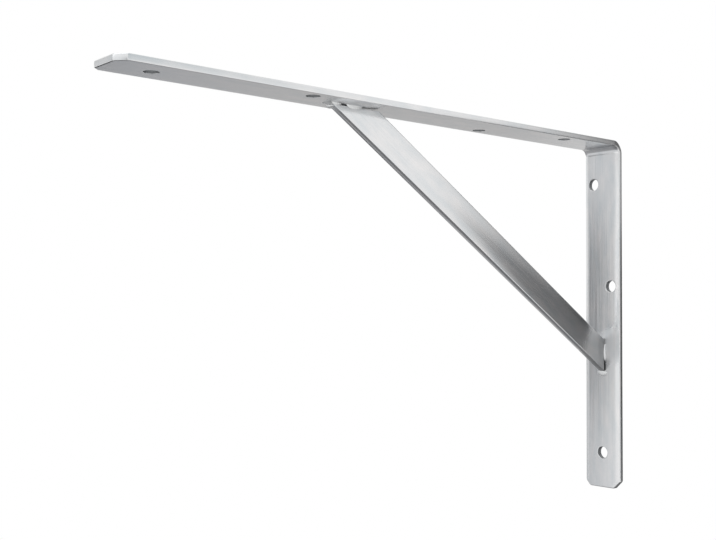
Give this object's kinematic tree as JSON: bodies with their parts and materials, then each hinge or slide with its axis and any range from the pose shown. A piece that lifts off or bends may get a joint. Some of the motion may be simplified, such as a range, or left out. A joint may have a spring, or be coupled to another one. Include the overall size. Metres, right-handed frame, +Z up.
{
  "type": "gallows shelf bracket",
  "caption": "Flat-bar gallows bracket: a bar bent square into shelf arm and wall leg, a welded diagonal brace on edge, staggered screw holes and clipped ends.",
  "frame": {"origin": "on the wall plane at mid-width, where the axis of the lowest wall hole meets it", "axes": "+X straight out from the wall along the shelf arm, +Y across the bar, +Z up; the shelf lies on the plane z = 0.225"},
  "size_m": [0.4, 0.03, 0.25],
  "materials": {
    "zinc_plated_bar": "satin",
    "zinc_plated_weld": "satin"
  },
  "bodies": {
    "root": {"bent_bar": "zinc_plated_bar", "brace": "zinc_plated_bar", "arm_toe_weld": "zinc_plated_weld", "arm_near_weld": "zinc_plated_weld", "arm_far_weld": "zinc_plated_weld", "leg_toe_weld": "zinc_plated_weld", "leg_near_weld": "zinc_plated_weld", "leg_far_weld": "zinc_plated_weld"}
  },
  "joints": []
}
